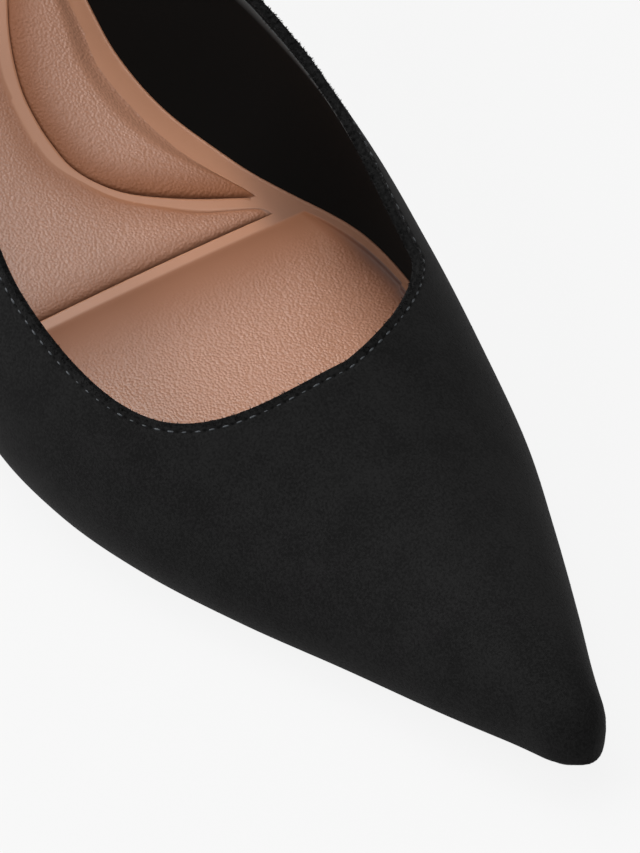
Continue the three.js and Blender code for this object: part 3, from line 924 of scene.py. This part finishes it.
def footbedRelief(x, y, rimInner, outerGap):
    # height over the rim, then the grain mark and the marks of painted shade: dark in the creases and under
    # the inner rim, broad beside the pads' edges
    # rimInner is how far a point lies inside the inner rim, outerGap how far from the outer edge
    f = footbed
    fromTip = f["tipX"] - x
    aboveArch = distanceTo(archEdge, x, y)
    belowTop = -distanceTo(archTop, x, y)
    belowSeat = -distanceTo(seatEdge, x, y)
    behindRib = f["crossX"] - x
    aheadRib = x - f["crossX"] - f["crossWidth"]
    behind, ahead = np.maximum(behindRib, 0), np.maximum(aheadRib, 0)
    rimOuter = outerGap - f["rimWidth"]

    def fadeIn(name):
        return smooth(x, *fadeX[name])

    def notch(distance):
        return np.exp(-np.maximum(distance, 0) / f["notchWidth"])

    def fingerRise(distances):
        return 1 - np.exp(-np.maximum(softMinimum(distances, f["fingerBlend"]), 0) / f["fingerSide"])

    def shade(name, distance):
        strength, reach = footbedShade[name]
        return strength * np.exp(-(distance / reach) ** 2)

    finger = fadeIn("fingers")
    inArch = (aboveArch > 0) & (belowTop > 0) & (x > f["heelTipX"]) & (fromTip > 0)
    width = np.maximum(aboveArch + belowTop, 1e-6)
    share = np.clip(aboveArch / width, 0, 1)
    size = np.clip(width / f["archWidth"], 0, 1) ** 0.7
    flank = np.sqrt(1 - (1 - np.minimum(share / f["archCrest"], 1)) ** 2)
    fall = 0.5 + 0.5 * np.cos(math.pi * np.clip((share - f["archCrest"]) / (1 - f["archCrest"]), 0, 1))
    arch = f["archCrown"] * size * flank * fall * (1 - np.exp(-np.maximum(fromTip, 0) / f["tipSide"]))
    arch += f["fingerHeight"] * finger * fingerRise((aboveArch, belowTop, fromTip))
    topCrease = 0.5 * notch(belowTop) * fadeIn("archCreaseTop")
    archCrease = np.maximum(notch(np.minimum(aboveArch, fromTip)), topCrease) * fadeIn("archCreaseRear")
    arch -= f["notchDepth"] * archCrease * smooth(width, 0.1, 0.8)

    rearInner = np.where(x < f["heelTipX"] + 1, rimInner, 99)
    seatGap = np.minimum(np.minimum(belowSeat, rearInner), rimOuter)
    inSeat = (seatGap > 0) & (behindRib > 0) & ~inArch
    seatGap = np.maximum(seatGap, 0)
    seat = f["seatCrown"] * (1 - np.exp(-(seatGap / f["seatSide"]) ** 1.4))
    seat *= 1 - np.exp(-behind / f["ribSide"])
    seat += f["fingerHeight"] * finger * fingerRise((seatGap, behind))
    seatCrease = np.maximum(notch(behindRib) * smooth(seatGap, 0, 0.4),
                            0.6 * notch(seatGap) * fadeIn("seatCreaseTop"))
    seat -= f["notchDepth"] * seatCrease

    treadGap = np.minimum(rimInner, rimOuter)
    inTread = (aheadRib > 0) & (treadGap > -0.01)  # takes in the edge of the rim
    edge = np.maximum(treadGap, 0)
    rear = 1 - np.exp(-ahead / f["treadSide"])
    rim = 0.5 * (1 - np.exp(-edge / f["rimSide"])) + 0.5 * (1 - np.exp(-edge / f["rimFoot"]))
    tread = f["treadSwell"] * smooth(np.minimum(aheadRib, treadGap), 4, 24) - f["fieldDrop"] * rear * rim
    innerSide = rimInner < rimOuter
    # painted shadow: a dark crescent in the forefoot pad below the inner rim's edge
    shadow = mix(*f["shadowWidth"], fadeIn("shadowWidth"))
    rimShadow = np.exp(-(edge / shadow) ** 1.25) * rear * mix(*f["shadowDepth"], fadeIn("shadowDepth"))

    # broad painted shade: a darker tone beside the arch pad's edges, the cross rib and the seat's edge, ahead
    # of the rib and along the inner rim
    archShade = np.maximum(shade("archEdge", aboveArch), shade("archTop", belowTop))
    seatShade = np.maximum(shade("rib", behindRib), shade("seatEdge", seatGap))
    sideShade = np.exp(-(edge / mix(*f["sideShadeWidth"], fadeIn("sideShade"))) ** 1.5)
    treadShade = np.maximum(shade("tread", ahead), np.where(innerSide, sideShade, 0))
    # painted shade on the rim as it runs into the inner corner by the throat
    rimShade = footbedShade["rim"] * fadeIn("rim") * smooth(y, 20, 27)
    treadGrain = smooth(aheadRib, 1, 9) * smooth(treadGap, 0.3, 3)

    def choose(inTheArch, inTheSeat, inTheTread, onTheRim):
        ahead = np.where(inTread, inTheTread, onTheRim)
        return np.where(inArch, inTheArch, np.where(inSeat, inTheSeat, ahead))

    height = choose(arch, seat, tread, 0)
    grain = choose(smooth(width, 0.5, 3), smooth(seatGap, 0.1, 1.2), treadGrain, 0)
    # the crease mark: painted shade in the pads' creases, the painted shadow under the inner rim and the
    # rim's painted shade
    crease = choose(archCrease, seatCrease, np.where(innerSide, rimShadow, 0), rimShade)
    return height, grain, crease, choose(archShade, seatShade, treadShade, 0)


def buildFootbed():
    f = footbed
    crossX = f["crossX"]
    dense = np.linspace(0.5, halfLoop - 0.6, 3000)
    innerX, outerX = footbedEdge(dense)[:, 0], footbedEdge(-dense)[:, 0]
    toeX, heelX = min(innerX[0], outerX[0]) - 0.02, max(innerX[-1], outerX[-1]) + 0.02
    creaseSteps = np.array([0.012, -0.012, -0.06, -0.12, -0.2, -0.32, -0.5])
    heelRows = np.interp(np.linspace(halfLoop - heelArc, halfLoop - 0.6, 22), dense, innerX)
    x = np.concatenate([  # rows across, closest where the pads' creases run
        np.linspace(toeX, 226, 5), np.arange(224.5, 150, -1.5), np.arange(150, crossX + 0.2, -0.5),
        crossX + creaseSteps, np.arange(crossX - 0.75, 66, -0.28), np.arange(66, 20, -0.42),
        np.arange(20, heelRows[0] + 0.6, -1.2), heelRows[heelRows > heelX], [heelX]])
    innerLoops, outerLoops = np.interp(-x, -innerX, dense), np.interp(-x, -outerX, dense)
    innerEdge, outerEdge = footbedEdge(innerLoops), footbedEdge(-outerLoops)
    low, high = outerEdge[:, 1], innerEdge[:, 1]
    widths = high - low
    lip = np.minimum(f["lipWidth"], widths * 0.06)
    rim = np.minimum(f["rimWidth"], widths * 0.2)
    front, rear = treadEdge["at"][-1], treadEdge["at"][0]
    measured = curveAt(treadEdge, x)
    innerRim = high - rim
    followed = (x > rear) * (1 - smooth(x, front, front + 30))
    innerRim = mix(innerRim, np.where(x > rear, measured, innerRim), followed)
    innerRim = np.where(x > front, np.minimum(innerRim, high - rim * 0.5), innerRim)
    gap = 0.012
    marked, seated = np.clip(x, f["heelTipX"], f["tipX"]), np.clip(x, f["heelTipX"], crossX)
    archLine = curveAt(archEdge, marked)
    breaks = np.array([low, low + lip, low + rim, curveAt(seatEdge, seated), archLine - gap, archLine + gap,
                       curveAt(archTop, marked), innerRim - 0.6, innerRim, high - lip, high])
    counts = [3, 5, 44, 6, 1, 36, 6, 5, 6, 3]  # columns between the breaks
    for k in range(3, 7):  # the breaks stay in order where the pads end
        breaks[k] = np.clip(breaks[k], breaks[k - 1] + 0.02, breaks[7] - 0.02 * (7 - k))
    shares = (breaks - low) / widths
    totals = np.cumsum([0] + counts) / sum(counts)
    ahead = smooth(x, crossX + 2, crossX + 60)
    behind = 1 - smooth(x, -5, f["heelTipX"])
    for k in range(3, 7):
        frontX = crossX if k == 3 else f["tipX"]
        inside = (x >= f["heelTipX"]) & (x <= frontX)
        first, final = np.argmax(inside), len(x) - 1 - np.argmax(inside[::-1])
        held = np.where(x < f["heelTipX"], shares[k][final], shares[k])
        held = np.where(x > frontX, shares[k][first], held)
        shares[k] = np.maximum(mix(mix(held, totals[k], ahead), totals[k], behind), shares[k - 1] + 0.0004)
    columns = []
    for k, count in enumerate(counts):
        t = np.linspace(0, 1, count + 1)
        if k == 5:
            t = t ** 1.7  # closest beside the crisp crease
        if k < len(counts) - 1:
            t = t[:-1]
        columns.append(mix(shares[k][:, None], shares[k + 1][:, None], t[None, :]))
    share = np.concatenate(columns, axis=1)
    base = mix(outerEdge[:, None, :], innerEdge[:, None, :], share[..., None])
    px, py = base[..., 0], base[..., 1]
    outerGap, innerGap = py - low[:, None], high[:, None] - py
    ends = stationAt(innerLoops)[2][:, None]
    crown = f["crown"] * (1 - (2 * share - 1) ** 2) * ends

    def lipShape(distance):
        t = np.clip(1 - distance / lip[:, None], 0, 1)
        return 1 - np.sqrt(1 - 0.96 * t * t)

    height, grain, crease, broadShade = footbedRelief(px, py, innerRim[:, None] - py, outerGap)
    narrow = smooth(widths, 12, 40)[:, None]
    rolled = lipShape(innerGap) + lipShape(outerGap) - 1
    z = base[..., 2] + crown + height * narrow + f["lipHeight"] * rolled * ends
    top = np.stack([px, py, z], -1)
    innerFoot = wallPoint(innerLoops, 0 * x, np.full(x.shape, f["edgeDepth"]))
    outerFoot = wallPoint(-outerLoops, 0 * x, np.full(x.shape, f["edgeDepth"]))
    points = np.concatenate([top.reshape(-1, 3), outerFoot, innerFoot])
    rows, cols = share.shape
    number = np.arange(rows * cols).reshape(rows, cols)
    outerUnder = (number.size + np.arange(rows)).tolist()
    innerUnder = (number.size + rows + np.arange(rows)).tolist()
    number = number.tolist()
    faces = []
    for i in range(rows - 1):
        faces += stripFaces(number[i], number[i + 1], closed=False)
        faces += [(outerUnder[i + 1], outerUnder[i], innerUnder[i], innerUnder[i + 1]),
                  (outerUnder[i], outerUnder[i + 1], number[i + 1][0], number[i][0]),
                  (number[i][-1], number[i + 1][-1], innerUnder[i + 1], innerUnder[i])]
    for i in (0, rows - 1):
        faces.append(number[i] + [innerUnder[i], outerUnder[i]])
    zeros = np.zeros(2 * rows)
    # grain drives the pebble bump; the crease mark and the last mark hold painted shade
    return makeMesh("moulded_footbed", points, faces, {
        "grain": np.concatenate([(grain * narrow).ravel(), zeros]),
        "crease": np.concatenate([crease.ravel(), zeros]),
        "broadShade": np.concatenate([broadShade.ravel(), zeros])})


padding = makePiece("moulded_footbed", buildFootbed(), footbedLeather, "insole")
print("footbed ready")

# Outsole
outsole = {
    "bevel": 0.7,
    "inset": 1.2,
    "undercut": 1.3,
    "tipHalf": 0.3,
    "tipSetback": 3.2,  # the underside ends this far behind the toe's tip
    "tipReach": 3.0,
    "edgeDrop": 0.3,  # height of the small bevel round the top edge
    "edgeRound": 0.15,
    "rowStep": 0.6,
    "treadPitch": 2.4,
    "treadDepth": 0.25,
    "treadBack": (22.0, 118.0),
    "treadMargin": 5.0,
}


def makeRingMesh(name, rings):
    # skin over rings of points, with a cap on each end
    count = rings.shape[1]
    number = np.arange(rings.shape[0] * count).reshape(-1, count).tolist()
    faces = []
    for first, second in zip(number[:-1], number[1:]):
        faces += stripFaces(first, second)
    return makeMesh(name, rings.reshape(-1, 3), faces + [number[0], number[-1]])


def buildOutsole():
    s = outsole
    toeHalfWidth = lastSections["inner"][0] * last["ballHalfWidth"]
    tipLoop = last["toeRadius"] * math.asin((s["inset"] + s["tipHalf"]) / toeHalfWidth)
    breast = loopAt(last["breastBack"] - last["clearance"])
    toe = np.linspace(tipLoop, toeArc, 10)
    loops = np.concatenate([toe, np.arange(toeArc, breast, s["rowStep"])[1:], [breast]])
    back = stationAt(loops)[1]
    inner, outer = lastPoint(loops, 0 * loops), lastPoint(-loops, 0 * loops)
    top = inner[:, 2] - last["clearance"]
    bottom = np.maximum(0, top - last["soleThickness"] - last["soleWaistExtra"])
    width = inner[:, 1] - outer[:, 1] - 2 * s["inset"]
    undercut = np.minimum(s["undercut"], width / 4)
    bevel = np.minimum(s["bevel"], width / 6)
    edgeRound = np.minimum(s["edgeRound"], width / 10)
    turns = np.linspace(0, math.pi / 2, 6)
    leftTop, rightTop = outer[:, 1] + s["inset"], inner[:, 1] - s["inset"]
    left, right = leftTop + undercut, rightTop - undercut
    ribs = 0.5 - 0.5 * np.cos(2 * math.pi * back / s["treadPitch"])
    first, final = s["treadBack"]
    # the section runs from the inner bottom corner across the underside and back over the top
    section = [(right - bevel * (1 - math.cos(t)), bottom + bevel * (1 - math.sin(t))) for t in turns]
    for t in np.linspace(0, 1, 33)[1:-1]:
        y = mix(right - bevel, left + bevel, t)
        margin = np.minimum(y - left, right - y)
        tread = smooth(margin, s["treadMargin"], s["treadMargin"] + 0.8)
        tread *= smooth(back, first, first + 2) * (1 - smooth(back, final - 2, final))
        section.append((y, bottom + s["treadDepth"] * ribs * tread))
    section += [(left + bevel * (1 - math.cos(t)), bottom + bevel * (1 - math.sin(t))) for t in turns[::-1]]
    low = len(section)
    section += [(leftTop, top - s["edgeDrop"]), (leftTop + edgeRound, top), (rightTop - edgeRound, top),
                (rightTop, top - s["edgeDrop"])]
    setback = s["tipSetback"] * np.exp(-back / s["tipReach"])
    rings = np.array([np.stack([inner[:, 0] - (setback if k < low else 0), y, z], -1)
                      for k, (y, z) in enumerate(section)]).transpose(1, 0, 2)
    mesh = makeRingMesh("outsole_unit", rings)
    mesh.set_sharp_from_angle(angle=math.radians(50))
    return mesh


makePiece("outsole_unit", buildOutsole(), outsoleResin, "outsole")

# Heel and its top piece
heel = {
    "baseLength": 26.0,
    "baseWidth": 28.0,
    "baseCorner": 9.0,
    "taper": 2.1,
    "topPiece": 5.0,
    "seatGap": 0.2,  # share of the clearance left under the seat
    "steps": 60,
    "levels": 44,
    "breastRound": 0.7,
    "breastAngle": 35,
}


def heelBaseSide(count):
    front, half, corner = heel["baseLength"] / 2, heel["baseWidth"] / 2, heel["baseCorner"]
    straight, arc, flat = 2 * front - corner, corner * math.pi / 2, half - corner
    travel = np.linspace(0, straight + arc + flat, count + 1)
    angle = np.clip((travel - straight) / corner, 0, math.pi / 2)
    x = np.where(travel < straight, front - travel, corner - front - corner * np.sin(angle))
    y = half - corner * (1 - np.cos(angle)) - np.maximum(0, travel - straight - arc)
    return np.stack([x, y], -1)


def roundEdges(mesh, width, angle, segments=3):
    work = bmesh.new()
    work.from_mesh(mesh)
    sharp = [e for e in work.edges if len(e.link_faces) == 2 and e.calc_face_angle() > math.radians(angle)]
    bmesh.ops.bevel(work, geom=sharp, offset=width * millimetre, segments=segments, profile=0.5,
                    affect="EDGES", clamp_overlap=True)
    bmesh.ops.recalc_face_normals(work, faces=work.faces)
    work.to_mesh(mesh)
    work.free()
    mesh.shade_smooth()
    return mesh


def buildHeel():
    h = heel
    loops = np.linspace(loopAt(last["breastBack"]), halfLoop, h["steps"] + 1)
    base = heelBaseSide(h["steps"])
    breast = np.linspace(0, 1, 14)[1:-1, None]
    rings = []
    for level in np.linspace(1, 0, h["levels"] + 1):
        inwards = 1 - (1 - level) ** h["taper"]
        ring = []
        for side in (1, -1):
            seat = lastPoint(side * loops, 0 * loops) - [0, 0, last["clearance"] * h["seatGap"]]
            foot = np.stack([base[:, 0], side * base[:, 1], np.full(len(base), h["topPiece"])], -1)
            flat = mix(seat[:, :2], foot[:, :2], inwards)
            part = np.column_stack([flat, mix(seat[:, 2], foot[:, 2], level)])
            ring.append(part if side > 0 else part[:-1][::-1])
        ring = np.concatenate(ring)
        rings.append(np.concatenate([ring, mix(ring[-1], ring[0], breast)]))
    return roundEdges(makeRingMesh("heel_cover", np.array(rings)), h["breastRound"], h["breastAngle"])


def buildTopPiece():
    h = heel
    tall, half = h["topPiece"], h["baseLength"] / 2
    base = heelBaseSide(h["steps"])
    outline = np.concatenate([base, (base * [1, -1])[:-1][::-1]])
    centre = outline.mean(0)
    rings = []
    for height, pull in ((tall, 0.25), (tall - 0.2, 0.0), (0.55, 0.0), (0.2, 0.15), (0, 0.6)):
        flat = centre + (outline - centre) * (1 - pull / half)
        rings.append(np.column_stack([flat, np.full(len(outline), height)]))
    mesh = makeRingMesh("top_piece_rubber", np.array(rings))
    mesh.set_sharp_from_angle(angle=math.radians(40))
    return mesh


makePiece("heel_cover", buildHeel(), suede, "heel")
makePiece("top_piece_rubber", buildTopPiece(), rubber, "top_piece")
print("sole and heel ready")

# Stage
stage = {"floorHalf": 4, "floorGlow": 0.877, "skyGrey": 0.93, "skyStrength": 0.41, "softboxSize": 0.9}
floorMaterial = bpy.data.materials.new("white paper sweep")
floorMaterial.use_nodes = True
finishMaterial(floorMaterial, {
    "Base Color": (0.04, 0.04, 0.04, 1),
    "Roughness": 0.9,
    "Specular IOR Level": 0.0,
    "Emission Color": (1, 1, 1, 1),
    "Emission Strength": stage["floorGlow"],
})
far = stage["floorHalf"]
floorMesh = bpy.data.meshes.new("floor")
floorMesh.from_pydata([(-far, -far, 0), (far, -far, 0), (far, far, 0), (-far, far, 0)], [], [(0, 1, 2, 3)])
floorMesh.materials.append(floorMaterial)
floor = bpy.data.objects.new("floor", floorMesh)
bpy.context.scene.collection.objects.link(floor)

camera = {
    "eye": (906.15, -466.20, 886.30),
    "aim": (171.91, -14.98, 48.57),
    "roll": -2.219,
    "lens": 305.16,
    "sensor": 36,
}


def placeCamera():
    eye, aim = Vector(camera["eye"]) * millimetre, Vector(camera["aim"]) * millimetre
    data = bpy.data.cameras.new("camera")
    data.lens, data.sensor_width = camera["lens"], camera["sensor"]
    data.clip_start, data.clip_end = 0.05, 20
    view = bpy.data.objects.new("camera", data)
    bpy.context.scene.collection.objects.link(view)
    backwards = (eye - aim).normalized()
    right = Vector((0, 0, 1)).cross(backwards).normalized()
    up = backwards.cross(right)
    turned = Matrix.Rotation(math.radians(camera["roll"]), 3, backwards)
    right, up = turned @ right, turned @ up
    turn = Matrix((right, up, backwards)).transposed().to_4x4()
    view.matrix_world = Matrix.Translation(eye) @ turn
    bpy.context.scene.camera = view


softboxAim = (0.12, 0, 0.03)
softboxes = {  # place in metres, power in watts, colour
    "softbox_heel_side": ((-0.56, 0.02, 1.36), 10, (1.0, 1.0, 0.99)),
    "softbox_inner_side": ((0.44, 0.55, 1.39), 1.5, (1.0, 1.0, 0.99)),
    "softbox_above": ((0.12, 0.0, 1.53), 7, (1.0, 1.0, 1.0)),
    "softbox_outer_side": ((-0.49, -1.06, 0.89), 20, (0.99, 0.99, 1.0)),
}


def addSoftbox(name, place, power, colour):
    data = bpy.data.lights.new(name, "AREA")
    data.shape, data.size, data.energy, data.color = "SQUARE", stage["softboxSize"], power, colour
    light = bpy.data.objects.new(name, data)
    bpy.context.scene.collection.objects.link(light)
    light.location = place
    light.rotation_euler = (Vector(softboxAim) - Vector(place)).to_track_quat("-Z", "Y").to_euler()


placeCamera()
for boxName, (boxPlace, boxPower, boxColour) in softboxes.items():
    addSoftbox(boxName, boxPlace, boxPower, boxColour)
world = bpy.data.worlds.new("studio")
bpy.context.scene.world = world
world.use_nodes = True
fillInputs(world.node_tree, world.node_tree.nodes["Background"], {
    "Color": (stage["skyGrey"],) * 3 + (1,), "Strength": stage["skyStrength"]})
bpy.context.scene.view_settings.view_transform = "Standard"
print("stage ready")
